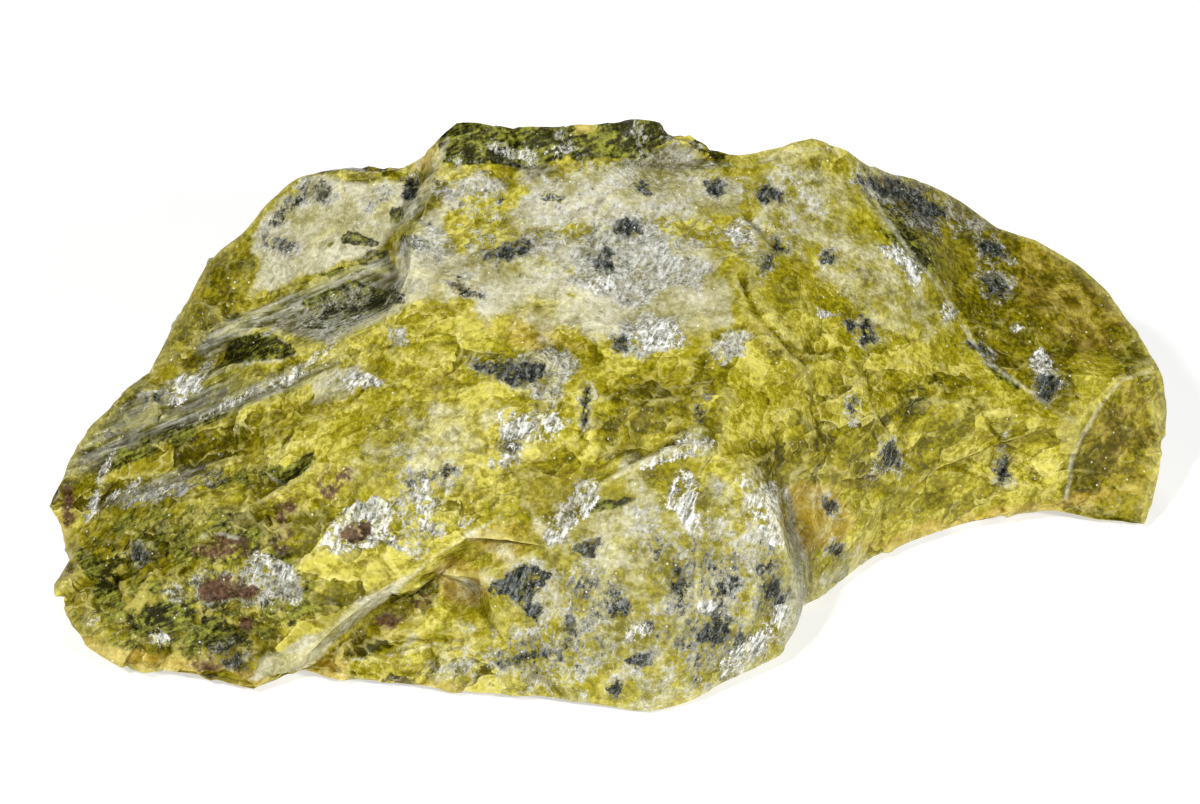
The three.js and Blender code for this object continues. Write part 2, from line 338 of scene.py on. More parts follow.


# Where each mineral shows, read from the photograph
PATCHES: dict[Mineral, tuple[Patch | Area, ...]] = {
    Mineral.CREAM: (
        *areas(1.0, 12.0, (253, 235, 312, 180, 405, 176, 420, 195, 385, 248, 245, 300, 258, 265)),
        *areas(1.0, 20.0, (400, 265, 420, 245, 590, 275, 600, 300, 535, 300, 520, 318, 490, 318, 470, 300,
            430, 300, 408, 312, 395, 290)),
        *areas(1.0, 16.0, (415, 225, 455, 182, 500, 175, 520, 190, 500, 205, 470, 192, 450, 210, 445, 240,
            420, 240)),
        *areas(0.95, 18.0, (520, 175, 640, 168, 738, 182, 748, 212, 730, 225, 690, 215, 640, 230, 560, 225,
            510, 235, 500, 215, 525, 195)),
        *areas(1.0, 24.0, (520, 250, 620, 225, 680, 235, 720, 265, 735, 290, 735, 320, 625, 345, 575, 320,
            545, 336, 530, 320, 545, 300, 590, 280)),
        *areas(1.0, 5.0, (248, 681, 262, 657, 330, 628, 350, 608, 415, 570, 385, 605, 350, 626, 300, 672)),
        *ovals((795, 205, 70, 55, -30, 0.42), (870, 275, 85, 40, -45, 0.42), (650, 585, 180, 110, 0, 0.46),
            (425, 450, 75, 42, 15, 0.4), (340, 380, 30, 14, 10, 0.6)),
    ),
    Mineral.FROST: (
        *areas(1.0, 9.0, (575, 240, 600, 222, 640, 215, 722, 275, 700, 288, 660, 290, 640, 312, 570, 282),
            (618, 325, 650, 313, 682, 320, 682, 345, 650, 362, 622, 352),
            (470, 366, 560, 348, 582, 365, 555, 410)),
        *areas(0.9, 9.0, (705, 348, 725, 330, 748, 335, 746, 354, 720, 364),
            (480, 255, 520, 236, 560, 230, 575, 240, 510, 265)),
        *areas(0.8, 9.0, (383, 325, 410, 318, 412, 345, 388, 348)),
        *ovals((600, 215, 190, 70, 0, 0.4), (320, 192, 22, 12, 0, 0.9), (380, 192, 18, 14, 20, 0.8),
            (480, 188, 50, 14, 0, 0.8), (430, 240, 26, 16, 0, 0.8), (350, 312, 70, 22, 16, 0.5),
            (610, 650, 170, 48, 5, 0.36), (730, 560, 70, 60, 0, 0.34), (930, 205, 60, 20, -28, 0.6),
            (415, 510, 30, 40, 0, 0.6), (165, 490, 60, 9, 15, 0.7), (740, 230, 16, 14, 0, 0.9),
            (236, 588, 56, 22, 4, 0.8)),
    ),
    Mineral.FIBRE: (
        *areas(1.0, 6.0, (543, 547, 549, 525, 575, 485, 590, 477, 601, 482, 598, 500, 556, 546), (316, 549,
            333, 520, 354, 499, 386, 499, 403, 514, 390, 528, 405, 550, 380, 545, 345, 553),
            (245, 576, 258, 554, 292, 569, 291, 579)),
        *areas(0.9, 6.0, (640, 467, 660, 450, 690, 437, 716, 440, 710, 452, 645, 471)),
        *areas(1.0, 9.0, (660, 492, 680, 470, 692, 472, 702, 490, 690, 537, 682, 520, 668, 515), (735, 478,
            748, 476, 752, 490, 775, 480, 782, 492, 778, 520, 788, 545, 776, 548, 748, 512)),
        *areas(1.0, 7.0, (718, 662, 745, 645, 776, 608, 785, 606, 779, 628, 735, 682, 721, 674)),
        *areas(0.95, 6.0, (878, 246, 895, 242, 911, 255, 922, 275, 913, 286)),
        *areas(1.0, 5.0, (813, 309, 846, 311, 843, 318, 820, 317), (540, 152, 572, 142, 579, 150, 565, 157),
            (114, 448, 100, 470, 83, 524, 92, 520)),
        *areas(0.9, 4.0, (472, 141, 520, 154, 522, 160, 480, 150)),
        *areas(0.9, 5.0, (95, 502, 142, 474, 140, 482, 118, 496)),
        *areas(0.62, 5.0, (175, 425, 325, 349, 345, 345, 300, 378, 200, 420)),
        *ovals((532, 425, 30, 20, 10), (655, 338, 26, 16), (600, 285, 16, 9), (185, 387, 20, 9, 40, 0.9),
            (207, 362, 18, 6, 62, 0.9), (358, 381, 24, 9, -4), (158, 641, 11, 11),
            (92, 620, 12, 8, -40, 0.8), (708, 605, 10, 7, 0, 0.9), (635, 633, 18, 8, 10, 0.9),
            (950, 312, 9, 8, 0, 0.8), (1041, 361, 9, 11), (740, 232, 11, 11), (1018, 327, 9, 4, 0, 0.8),
            (425, 505, 11, 22, 10, 0.8), (463, 522, 11, 6, 20, 0.8), (500, 462, 20, 7, 10, 0.8)),
    ),
    Mineral.INK: (
        *areas(1.0, 9.0, (484, 262, 500, 245, 521, 239, 531, 248, 500, 266),
            (446, 284, 460, 279, 481, 299, 462, 297), (611, 231, 622, 217, 641, 225, 639, 239, 625, 241),
            (630, 183, 640, 181, 649, 196, 640, 198), (702, 185, 715, 179, 727, 192, 716, 201),
            (756, 190, 768, 186, 784, 200, 760, 201), (474, 365, 490, 359, 540, 366, 545, 378, 520, 392),
            (755, 264, 779, 239, 783, 252, 762, 277), (482, 188, 495, 188, 510, 200, 501, 208),
            (401, 176, 415, 177, 420, 195, 404, 200), (478, 591, 526, 563, 547, 574, 531, 607),
            (521, 605, 539, 605, 536, 622, 527, 620), (571, 551, 580, 541, 601, 539, 591, 556),
            (559, 648, 565, 620, 575, 613, 569, 652), (606, 621, 620, 599, 634, 599, 626, 619),
            (667, 580, 675, 564, 687, 570, 676, 600), (693, 642, 714, 603, 737, 636, 720, 648),
            (763, 591, 775, 573, 785, 590, 779, 607), (733, 647, 745, 631, 757, 638, 748, 652),
            (604, 691, 615, 681, 627, 692, 615, 700), (860, 177, 880, 174, 912, 184, 952, 216, 930, 224),
            (979, 245, 990, 237, 1012, 261, 982, 256), (981, 280, 995, 274, 1009, 285, 1001, 299, 987, 296),
            (1034, 380, 1045, 370, 1057, 385, 1049, 404, 1039, 399),
            (966, 345, 980, 341, 994, 355, 986, 364), (838, 320, 848, 314, 857, 325, 853, 335),
            (861, 311, 871, 325, 876, 339, 865, 340)),
        *areas(0.75, 9.0, (590, 262, 605, 245, 616, 255, 611, 276)),
        *areas(0.9, 9.0, (499, 663, 540, 644, 562, 655, 545, 664), (624, 660, 640, 654, 657, 665, 640, 670),
            (843, 400, 855, 394, 862, 402, 853, 417), (214, 656, 230, 644, 247, 660, 244, 677)),
        *ovals((700, 412, 9, 20, -20), (622, 342, 9, 9), (585, 400, 6, 20, 0, 0.7), (720, 590, 6, 14),
            (728, 676, 10, 7), (648, 627, 7, 6), (828, 258, 9, 7, 0, 0.8), (890, 455, 10, 12, -30, 0.9),
            (1005, 468, 8, 16, 5, 0.9), (832, 506, 8, 6), (834, 550, 9, 7), (420, 495, 8, 32, 20, 0.7),
            (425, 478, 22, 6, 20, 0.7), (512, 435, 8, 16, 0, 0.9), (320, 192, 15, 7, 0, 0.8),
            (290, 207, 20, 6, 50, 0.8), (278, 243, 14, 7, -20, 0.7), (150, 400, 16, 6, 25, 0.7),
            (140, 553, 9, 6, -40, 0.9), (705, 618, 55, 58, 0, 0.42), (600, 600, 28, 26, 0, 0.42),
            (548, 650, 52, 22, 0, 0.38), (772, 575, 20, 40, 0, 0.4), (662, 552, 16, 30, 20, 0.36)),
    ),
    Mineral.OLIVE: (
        # The first outline, the right-back face, is olive partly as the stone's colour and partly as painted
        # shade on a face turned from the light
        *areas(1.0, 6.0, (858, 158, 900, 168, 950, 190, 1078, 268, 1108, 298, 1155, 365, 1130, 374,
            1100, 338, 1064, 360, 1080, 400, 1075, 422, 985, 360, 960, 310, 928, 264, 898, 238),
            (1078, 440, 1118, 380, 1155, 370, 1166, 400, 1148, 528, 1066, 516, 1060, 495)),
        *areas(0.8, 9.0, (240, 232, 252, 236, 258, 265, 245, 300, 150, 420, 100, 440, 60, 490, 60, 440,
            150, 340, 200, 260)),
        *areas(0.85, 6.0, (305, 674, 330, 649, 432, 574, 442, 600, 420, 625, 370, 656)),
        *areas(0.9, 6.0, (275, 606, 308, 586, 342, 604, 336, 630, 300, 621)),
        *areas(0.95, 16.0, (60, 530, 110, 520, 270, 600, 280, 640, 230, 690, 60, 690)),
        *ovals((150, 470, 110, 60, 25, 0.5), (170, 545, 110, 50, 10, 0.55), (270, 505, 60, 34, 20, 0.35),
            (655, 408, 80, 34, 24, 0.9), (840, 395, 85, 45, 10, 0.35), (800, 470, 80, 40, 0, 0.5),
            (270, 432, 70, 24, 20, 0.35), (914, 398, 14, 14, 0, 0.9), (780, 345, 40, 12, -20, 0.7),
            (755, 272, 8, 30, -25, 0.8)),
    ),
    Mineral.DEEP: (
        *areas(1.0, 7.0, (440, 150, 450, 100, 570, 100, 575, 134, 598, 130, 600, 100, 664, 100, 676, 132,
            640, 160, 560, 160, 525, 169, 444, 162)),
        *areas(0.9, 6.0, (688, 142, 705, 132, 732, 161, 714, 161)),
        *areas(1.0, 5.0, (204, 380, 228, 338, 248, 333, 292, 344, 295, 353, 280, 361, 225, 368)),
        *areas(0.9, 5.0, (298, 301, 352, 280, 402, 292, 405, 303, 385, 306, 350, 323, 315, 331, 295, 327,
            312, 315)),
        *areas(0.55, 4.0, (285, 284, 386, 247, 394, 254, 290, 290)),
        *areas(1.0, 4.0, (266, 472, 314, 448, 310, 466, 296, 479, 274, 481),
            (330, 243, 348, 232, 380, 242, 376, 246), (539, 200, 550, 192, 567, 197, 560, 204)),
        *areas(0.9, 4.0, (388, 210, 402, 207, 405, 220, 392, 224),
            (872, 221, 885, 227, 899, 243, 888, 244)),
        *areas(0.85, 6.0, (130, 622, 150, 604, 180, 601, 202, 614, 185, 629, 150, 637)),
        *areas(0.7, 6.0, (189, 632, 206, 613, 242, 628, 250, 641, 225, 652, 200, 647),
            (84, 566, 105, 557, 121, 575, 119, 597, 95, 592)),
        *areas(0.5, 6.0, (904, 390, 925, 382, 930, 402, 912, 412)),
        *areas(0.44, 12.0, (75, 560, 130, 500, 230, 500, 300, 560, 330, 610, 270, 640, 200, 662, 110, 645)),
        *ovals((412, 241, 14, 5, -15), (905, 210, 55, 10, -30, 0.6), (165, 440, 60, 12, 25, 0.5),
            (190, 487, 85, 7, 13, 0.6), (915, 250, 40, 12, -48, 0.7), (610, 503, 22, 6, 15, 0.8),
            (1000, 372, 40, 6, -38, 0.6), (985, 350, 10, 8, 0, 0.7)),
    ),
    Mineral.AMBER: (
        *areas(1.0, 5.0, (406, 166, 441, 140, 441, 155, 430, 172)),
        *areas(1.0, 8.0, (432, 566, 462, 555, 482, 570, 492, 596, 460, 606, 440, 600)),
        *areas(0.6, 9.0, (465, 537, 500, 519, 546, 524, 531, 556, 500, 566)),
        *areas(1.0, 9.0, (786, 492, 805, 479, 850, 500, 858, 530, 800, 562)),
        *areas(1.0, 6.0, (298, 678, 306, 660, 345, 660, 348, 682)),
        # The long thin ovals along the lower rims paint a glow of light through the translucent edges
        *ovals((585, 127, 14, 6), (180, 668, 120, 12, -10), (395, 688, 100, 10, -4, 0.8),
            (980, 522, 130, 10, 12, 0.8), (1120, 440, 40, 70, 0, 0.3), (60, 525, 10, 26),
            (530, 330, 34, 20, -20, 0.7), (345, 632, 110, 12, 46, 0.3), (720, 690, 60, 10, 12, 0.4),
            (1075, 295, 70, 40, -42, 0.42)),
    ),
    Mineral.RUST: (
        *areas(1.0, 8.0, (195, 591, 205, 577, 230, 575, 267, 590, 256, 599, 200, 603),
            (339, 537, 350, 521, 371, 516, 374, 530, 355, 542)),
        *areas(0.45, 9.0, (186, 546, 215, 535, 250, 540, 246, 554, 215, 562, 190, 556)),
        *ovals((285, 520, 16, 26, 0, 0.42), (330, 478, 20, 22, 0, 0.36), (244, 622, 9, 7),
            (66, 565, 6, 16, 0, 0.8), (66, 508, 8, 18, 0, 0.7), (385, 622, 16, 9, 0, 0.7),
            (425, 600, 12, 6, 20, 0.5), (207, 664, 12, 8, 0, 0.8)),
    ),
}

# Bowls where flakes have split off, by their depth in millimetres
SCARS: dict[float, tuple[Patch, ...]] = {
    1.0: ovals((292, 463, 27, 15, 24)),
    1.1: ovals((220, 352, 44, 16, 14)),
    0.8: ovals((345, 298, 70, 26, 14), (190, 545, 44, 26, 20)),
    0.7: ovals((905, 398, 34, 36), (260, 640, 60, 22, 10)),
    0.5: ovals((555, 330, 42, 28), (440, 385, 40, 22)),
    0.6: ovals((300, 400, 60, 22, 20), (650, 405, 85, 30, 24), (1010, 430, 50, 30, -30),
        (470, 600, 36, 26)),
}

# Slip faces, drawn out into fine grey streaks
SLICKS: tuple[Patch | Area, ...] = (
    *areas(1.0, 6.0, (388, 252, 225, 320, 200, 345, 196, 362, 240, 336, 272, 328, 330, 346, 402, 310,
        398, 272)),
    *areas(0.9, 6.0, (670, 144, 692, 148, 702, 159, 740, 166, 700, 172, 600, 167)),
    *areas(0.8, 5.0, (515, 168, 545, 164, 562, 170, 530, 180),
        (786, 488, 793, 500, 803, 590, 798, 622, 785, 652, 779, 640, 788, 600)),
    *ovals((205, 412, 150, 10, 21), (150, 420, 110, 24, 28, 0.6), (165, 482, 50, 8, 20, 0.8),
        (415, 205, 30, 7, 52, 0.8), (440, 160, 30, 6, 60, 0.5), (905, 245, 60, 4, -50, 0.7)),
)

# Faces that split evenly and show few flakes
SMOOTH_FACES: tuple[Patch, ...] = ovals(
    (1010, 300, 170, 85, -38, 0.75), (215, 262, 130, 34, 50, 0.8), (625, 580, 190, 110, 0, 0.7),
    (800, 240, 100, 90, 0, 0.6), (420, 440, 120, 60, 10, 0.35), (1115, 450, 45, 80, 0, 0.5),
)

# Cracks, each with a width in pixels and a depth in millimetres
CRACKS: tuple[Line, ...] = (
    Line(((749, 215), (779, 246)), 3.5, 0.8),
    Line(((742, 275), (752, 305), (775, 330), (806, 362)), 3.5, 0.9),
    Line(((812, 400), (822, 452)), 2.0, 0.5),
    Line(((330, 365), (210, 412), (86, 454)), 3.0, 0.5),
    Line(((585, 385), (584, 440)), 2.5, 0.5),
    Line(((285, 482), (200, 470), (132, 492)), 3.0, 0.5),
    Line(((600, 478), (655, 446), (715, 436)), 3.0, 0.5),
    Line(((310, 668), (400, 640), (460, 640)), 2.5, 0.6),
    Line(((870, 372), (872, 400), (890, 432)), 2.0, 0.4),
    Line(((970, 395), (1000, 440), (1020, 470)), 2.0, 0.4),
)

# Edges drawn as thin pale lines, partly worn edges and partly painted highlight along the ridges, each with a
# width in pixels
LIP_WEAR_AND_HIGHLIGHTS: tuple[Line, ...] = (
    Line(((858, 160), (880, 206), (900, 238), (940, 290), (985, 360), (1030, 392), (1074, 424)), 3.5),
    Line(((1066, 500), (1074, 450), (1100, 405), (1120, 380), (1152, 370)), 3.5),
    Line(((600, 484), (640, 464), (690, 440), (716, 438)), 4.0),
    Line(((206, 380), (225, 369), (250, 364), (280, 362), (297, 354)), 3.5),
    Line(((392, 262), (398, 240), (408, 215), (425, 190), (440, 160), (448, 140)), 4.0),
    Line(((345, 662), (400, 655), (430, 645), (470, 637)), 3.0),
    Line(((266, 474), (280, 482), (298, 481), (314, 462)), 3.0),
    Line(((740, 168), (770, 158), (800, 150), (830, 148)), 3.0),
    Line(((200, 536), (218, 533), (238, 538)), 3.5),
    Line(((400, 585), (440, 552), (500, 517)), 3.0),
)


@dataclass
class FineSurface:
    """A closed surface of small triangles, in metres."""

    points: Array
    triangles: Array

    @classmethod
    def from_mesh(cls, mesh: bpy.types.Mesh) -> "FineSurface":
        """Copies a mesh of loose triangles and welds the corners that share a place.

        Args:
            mesh: a mesh of triangles only.

        Returns:
            The welded surface.
        """
        places = np.empty(len(mesh.vertices) * 3, np.float32)
        mesh.vertices.foreach_get("co", places)
        mesh.calc_loop_triangles()
        corners = np.empty(len(mesh.loop_triangles) * 3, np.int32)
        mesh.loop_triangles.foreach_get("vertices", corners)
        points, which = np.unique(places.reshape(-1, 3), axis=0, return_inverse=True)
        triangles = which.reshape(-1)[corners].reshape(-1, 3)
        whole = (triangles != np.roll(triangles, 1, axis=1)).all(axis=1)
        return cls(points.astype(float), triangles[whole])

    def normals(self) -> Array:
        """Gives each point's normal: the sum of its triangles' cross products, scaled to length 1."""
        a, b, c = (self.points[self.triangles[:, k]] for k in range(3))
        cross = np.cross(b - a, c - a)
        corners, count = self.triangles.ravel(), len(self.points)
        normals = np.stack([np.bincount(corners, np.repeat(cross[:, k], 3), count) for k in range(3)], axis=1)
        return normals / np.maximum(np.linalg.norm(normals, axis=1, keepdims=True), 1e-15)

    def neighbour_mean(self, values: Array) -> Array:
        """Gives the mean of values over each point's neighbours.

        Args:
            values: one number for each point.

        Returns:
            One number for each point.
        """
        start = self.triangles.ravel()
        end = np.roll(self.triangles, -1, axis=1).ravel()
        count = len(self.points)
        total = np.bincount(start, values[end], count) + np.bincount(end, values[start], count)
        return total / (np.bincount(start, minlength=count) + np.bincount(end, minlength=count))

    def convexity(self, passes: int) -> Array:
        """Gives how far each point stands out from the mean place of those around it, along its normal.

        Args:
            passes: how often the surface is averaged, so how wide an area counts.

        Returns:
            One distance in metres for each point: above 0 on ridges, below it in grooves.
        """
        mean = self.points.copy()
        for _ in range(passes):
            mean = np.stack([self.neighbour_mean(mean[:, k]) for k in range(3)], axis=1)
        return np.sum((self.points - mean) * self.normals(), axis=1)

    def divided(self, parts: int, rounding: float) -> "FineSurface":
        """Cuts each triangle into smaller ones on a lattice of two parameters, bowed by its corner normals.

        A lattice point is the weighted mean of the three corners. It is then pulled towards the weighted mean
        of its feet on the corners' tangent planes. A point on an edge depends on that edge's ends alone, and
        is worked out in the same order on both sides, so neighbours meet exactly.

        Args:
            parts: how many parts each side is cut into.
            rounding: 0 keeps the triangles flat, 1 follows the tangent planes.

        Returns:
            The finer surface.
        """
        steps = [(i, j) for i in range(parts + 1) for j in range(parts + 1 - i)]
        place = {step: k for k, step in enumerate(steps)}
        weights = np.array([(parts - i - j, i, j) for i, j in steps]) / parts
        small = [(place[i, j], place[i + 1, j], place[i, j + 1]) for i, j in steps if i + j < parts]
        small += [
            (place[i + 1, j], place[i + 1, j + 1], place[i, j + 1]) for i, j in steps if i + j < parts - 1
        ]
        order = np.argsort(self.triangles, axis=1)
        sorted_corners = np.take_along_axis(self.triangles, order, axis=1)
        swapped = (np.roll(order, -1, axis=1) - order)[:, 0] % 3 == 2
        corners = self.points[sorted_corners][:, :, None, :]
        tangents = self.normals()[sorted_corners][:, :, None, :]
        share = weights.T[:, None, :, None]
        flat = share[0] * corners[:, 0] + share[1] * corners[:, 1] + share[2] * corners[:, 2]
        bowed = np.zeros_like(flat)
        for k in range(3):
            away = (flat - corners[:, k]) * tangents[:, k]
            rise = away[..., 0] + away[..., 1] + away[..., 2]
            bowed = bowed + share[k] * (flat - rise[..., None] * tangents[:, k])
        lattice = (1.0 - rounding) * flat + rounding * bowed
        points, which = np.unique(lattice.reshape(-1, 3), axis=0, return_inverse=True)
        pieces = np.array(small)[None] + (np.arange(len(corners)) * len(steps))[:, None, None]
        pieces = np.where(swapped[:, None, None], pieces[:, :, ::-1], pieces)
        return FineSurface(points, which.reshape(-1)[pieces].reshape(-1, 3))


@dataclass
class Boulder:
    """The stone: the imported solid's surface made fine, with relief and minerals. Sizes are millimetres."""

    view: PhotoView
    parts: int = 5
    rounding: float = 0.25
    seed: int = 11
    foot_height: float = 0.3
    foot_blend: float = 1.5
    chip_sizes: tuple[float, ...] = (10.0, 4.6)
    chip_slopes: tuple[float, ...] = (0.085, 0.075)
    chip_step: float = 0.35
    chip_bend: float = 0.28
    leaf_normal: Triple = (-0.45, -0.2, 0.85)
    leaf_gap: float = 3.4
    leaf_height: float = 0.40
    leaf_wander: float = 1.1
    leaf_swing: float = 13.0
    left_end: float = -18.0
    crest_span: tuple[float, float] = (44.0, 46.0)
    grain_height: float = 0.07
    grain_size: float = 2.5
    scar_wobble: float = 0.18
    scar_swing: float = 5.0
    crack_room_px: float = 60.0
    patch_room: float = 10.0
    seen_slants: tuple[float, float] = (-0.30, -0.08)
    brink_slants: tuple[float, float] = (0.34, 0.08)
    # Painted shade in olive and painted glow in amber where the surface turns edge-on to the view
    painted_edge_shade: float = 0.85
    painted_edge_glow: float = 0.45
    ragged_reach: float = 0.7
    ragged_sizes: tuple[float, float] = (5.5, 2.4)
    ring_spread: float = 1.8
    ring_most: float = 0.55
    ridge_height: float = 0.30
    swell_height: float = 1.2
    sharp_deg: float = 38.0

    def build(self) -> bpy.types.Object:
        """Makes the stone's fine mesh with its attributes, as one object at the origin.

        Returns:
            The new object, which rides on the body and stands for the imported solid.
        """
        self.noise = GradientNoise(self.seed)
        self.chips = ChipNoise(self.seed + 5)
        surface = FineSurface.from_mesh(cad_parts[NODE].data).divided(self.parts, self.rounding)
        self.rest = surface.points / MM
        self.rest_normals = surface.normals()
        self.pixels, self.depth = self.view.to_pixels(surface.points)
        self.slant = self.view.facing(surface.points, self.rest_normals)
        self.seen = smoothstep(*self.seen_slants, self.slant)
        surface.points = self.roughened()
        stone = self.to_object(surface)
        self.write_attributes(stone.data, surface)
        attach(stone, BODY)
        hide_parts(NODE)
        return stone

    def bent(self, across: float, reach: float) -> Array:
        """Gives the rest points pushed about by noise, so that cells drawn on them get uneven outlines."""
        shifts = [self.noise.fractal(self.rest + 31.7 * k, across, 2) for k in range(1, 4)]
        return self.rest + reach * np.stack(shifts, axis=1)

    def near(self, patch: Patch | Area) -> Array:
        """Gives 1 at the depth of the patch's own front points, falling to 0 well behind them."""
        front = (patch.reach(self.pixels) < 1.5) & (self.seen > 0.2)
        if not front.any():
            return np.zeros(len(self.depth))
        room = self.patch_room * MM + 2.0 * max(patch.half) / self.view.focal_px * self.view.distance
        return smoothstep(1.5 * room, room, self.depth - self.depth[front].min())

    def layered(self) -> Array:
        """Gives the height of thin leaves at the left end and the crest, in millimetres.

        Leaves are counted along one way, bent by noise. Each is a slow rise and then a sharp drop.

        Returns:
            One height for each point.
        """
        count = self.rest @ np.array(self.leaf_normal) / self.leaf_gap
        count += self.leaf_wander * self.noise.fractal(self.rest + 3.0, self.leaf_swing, 3)
        left = smoothstep(self.left_end + 12.0, self.left_end - 8.0, self.rest[:, 0])
        crest = smoothstep(*self.crest_span, self.rest[:, 2])
        return self.leaf_height * (count % 1.0 - 0.5) * np.maximum(left, crest)

    def chipped(self) -> Array:
        """Gives the height of flat broken facets of several sizes, in millimetres."""
        total = np.zeros(len(self.rest))
        for size, slope in zip(self.chip_sizes, self.chip_slopes):
            shifted = self.bent(size, self.chip_bend * size)
            total += 2.0 * slope * size * self.chips.facets(shifted, size, self.chip_step * slope)
        return total

    def flakiness(self) -> Array:
        """Gives how strongly the stone breaks into flakes: least on slip faces and on the pale faces."""
        pale = self.mineral_share(Mineral.CREAM, np.zeros(len(self.rest)))
        patchy = smoothstep(-0.35, 0.35, self.noise.fractal(self.rest + 7.0, 16.0, 2))
        left = smoothstep(self.left_end + 22.0, self.left_end - 4.0, self.rest[:, 0])
        calm = np.maximum(self.covered(SLICKS) * 0.7, self.covered(SMOOTH_FACES))
        return (0.45 + 0.25 * patchy + 0.30 * left) * (1.0 - 0.5 * pale) * (1.0 - calm)

    def covered(self, patches: tuple[Patch | Area, ...]) -> Array:
        """Gives the most that any of the patches covers each point, with soft edges."""
        shares = [p.strength * smoothstep(1.3, 0.6, p.reach(self.pixels)) * self.near(p) for p in patches]
        return np.max(shares, axis=0) * self.seen

    def scarred(self) -> Array:
        """Gives the depth of flake bowls and cracks, in millimetres, below 0."""
        total = np.zeros(len(self.rest))
        wobble = self.scar_wobble * self.noise.fractal(self.rest, self.scar_swing, 2)
        for depth, patches in SCARS.items():
            for patch in patches:
                reach = patch.reach(self.pixels) + wobble
                total -= depth * np.clip(1.0 - reach**2, 0.0, 1.0) * self.near(patch) * self.seen
        for crack in CRACKS:
            middle = Patch(crack.points[len(crack.points) // 2], (self.crack_room_px, self.crack_room_px))
            painted_groove_shade = np.exp(-((crack.reach(self.pixels) + 2.0 * wobble) ** 2))
            total -= crack.depth * painted_groove_shade * self.near(middle) * self.seen
        return total

    def roughened(self) -> Array:
        """Moves the rest points along their normals by all the relief, but leaves the flat foot where it is.

        Returns:
            The new points, in metres.
        """
        relief = (self.chipped() + self.layered()) * self.flakiness() + self.scarred()
        relief += self.grain_height * self.noise.fractal(self.rest, self.grain_size, 3)
        clear = smoothstep(self.foot_height, self.foot_height + self.foot_blend, self.rest[:, 2])
        moved = self.rest + self.rest_normals * (relief * clear)[:, None]
        moved[:, 2] = np.maximum(moved[:, 2], np.clip(self.rest[:, 2], 0.0, self.foot_height))
        return moved * MM

    def to_object(self, surface: FineSurface) -> bpy.types.Object:
        """Puts a surface into a new smooth-shaded object whose sharp breaks stay sharp.

        Args:
            surface: the finished surface.

        Returns:
            The object, linked to the scene.
        """
        mesh = bpy.data.meshes.new("jade_stone")
        mesh.vertices.add(len(surface.points))
        mesh.vertices.foreach_set("co", surface.points.astype(np.float32).ravel())
        count = len(surface.triangles)
        mesh.loops.add(count * 3)
        mesh.loops.foreach_set("vertex_index", surface.triangles.astype(np.int32).ravel())
        mesh.polygons.add(count)
        mesh.polygons.foreach_set("loop_start", np.arange(0, count * 3, 3, dtype=np.int32))
        mesh.update(calc_edges=True)
        mesh.validate()
        mesh.set_sharp_from_angle(angle=math.radians(self.sharp_deg))
        stone = bpy.data.objects.new("jade_stone", mesh)
        bpy.context.scene.collection.objects.link(stone)
        return stone

    def mineral_share(self, mineral: Mineral, ragged: Array) -> Array:
        """Gives how much of a mineral shows: its patches in front, and drifts of noise out of sight.

        Args:
            mineral: which one.
            ragged: noise that makes the patches' outlines uneven.

        Returns:
            One share from 0 to 1 for each point.
        """
        total = np.zeros(len(self.rest))
        for patch in PATCHES[mineral]:
            share = smoothstep(1.45, 0.55, patch.reach(self.pixels) + ragged)
            total = np.maximum(total, patch.strength * share * self.near(patch))
        across, low, high, most = HIDDEN_DRIFTS[mineral]
        shift = 53.0 * (1 + list(Mineral).index(mineral))
        drift = smoothstep(low, high, self.noise.fractal(self.rest + shift, across, 3))
        return total * self.seen + most * drift * (1.0 - self.seen)

    def write_attributes(self, mesh: bpy.types.Mesh, surface: FineSurface) -> None:
        """Stores each mineral's share, the ridges and the slip faces on the mesh.

        Inky spots have a frosty ring. Where the stone turns edge-on to the view, olive is painted in as shade
        and amber as a glow of light through the edge.

        Args:
            mesh: the stone's mesh.
            surface: the same surface as arrays.
        """
        coarse, close = self.ragged_sizes
        ragged = self.ragged_reach * self.noise.fractal(self.rest, coarse, 3)
        ragged += self.ragged_reach * self.noise.fractal(self.rest + 5.0, close, 2)
        shares = {mineral.value: self.mineral_share(mineral, ragged) for mineral in Mineral}
        for patch in PATCHES[Mineral.INK]:
            ring = smoothstep(1.3, 0.5, patch.reach(self.pixels) / self.ring_spread + ragged)
            ring *= self.ring_most * self.near(patch) * self.seen
            shares[Mineral.FROST.value] = np.maximum(shares[Mineral.FROST.value], ring)
        # Painted shade in olive and painted glow in amber along the edges that turn away from the view
        brink = smoothstep(*self.brink_slants, self.slant) * self.seen
        for mineral, most in ((Mineral.OLIVE, self.painted_edge_shade), (Mineral.AMBER, self.painted_edge_glow)):
            shares[mineral.value] = np.maximum(shares[mineral.value], most * brink)
        for form, passes, height in ((Form.RIDGE, 3, self.ridge_height), (Form.SWELL, 24, self.swell_height)):
            shares[form.value] = np.clip(0.5 + surface.convexity(passes) / (height * MM), 0.0, 1.0)
        shares[Form.SLICK.value] = self.covered(SLICKS)
        # Pale edge lines, partly worn edges and partly painted highlight
        edges = [np.exp(-(lip_wear_and_highlight.reach(self.pixels) ** 2)) for lip_wear_and_highlight in LIP_WEAR_AND_HIGHLIGHTS]
        shares[Form.LIP_WEAR_AND_HIGHLIGHT.value] = np.max(edges, axis=0) * self.seen
        shares[Form.FLAKY.value] = self.flakiness()
        for name, share in shares.items():
            layer = mesh.attributes.new(name, "FLOAT", "POINT")
            layer.data.foreach_set("value", share.astype(np.float32))


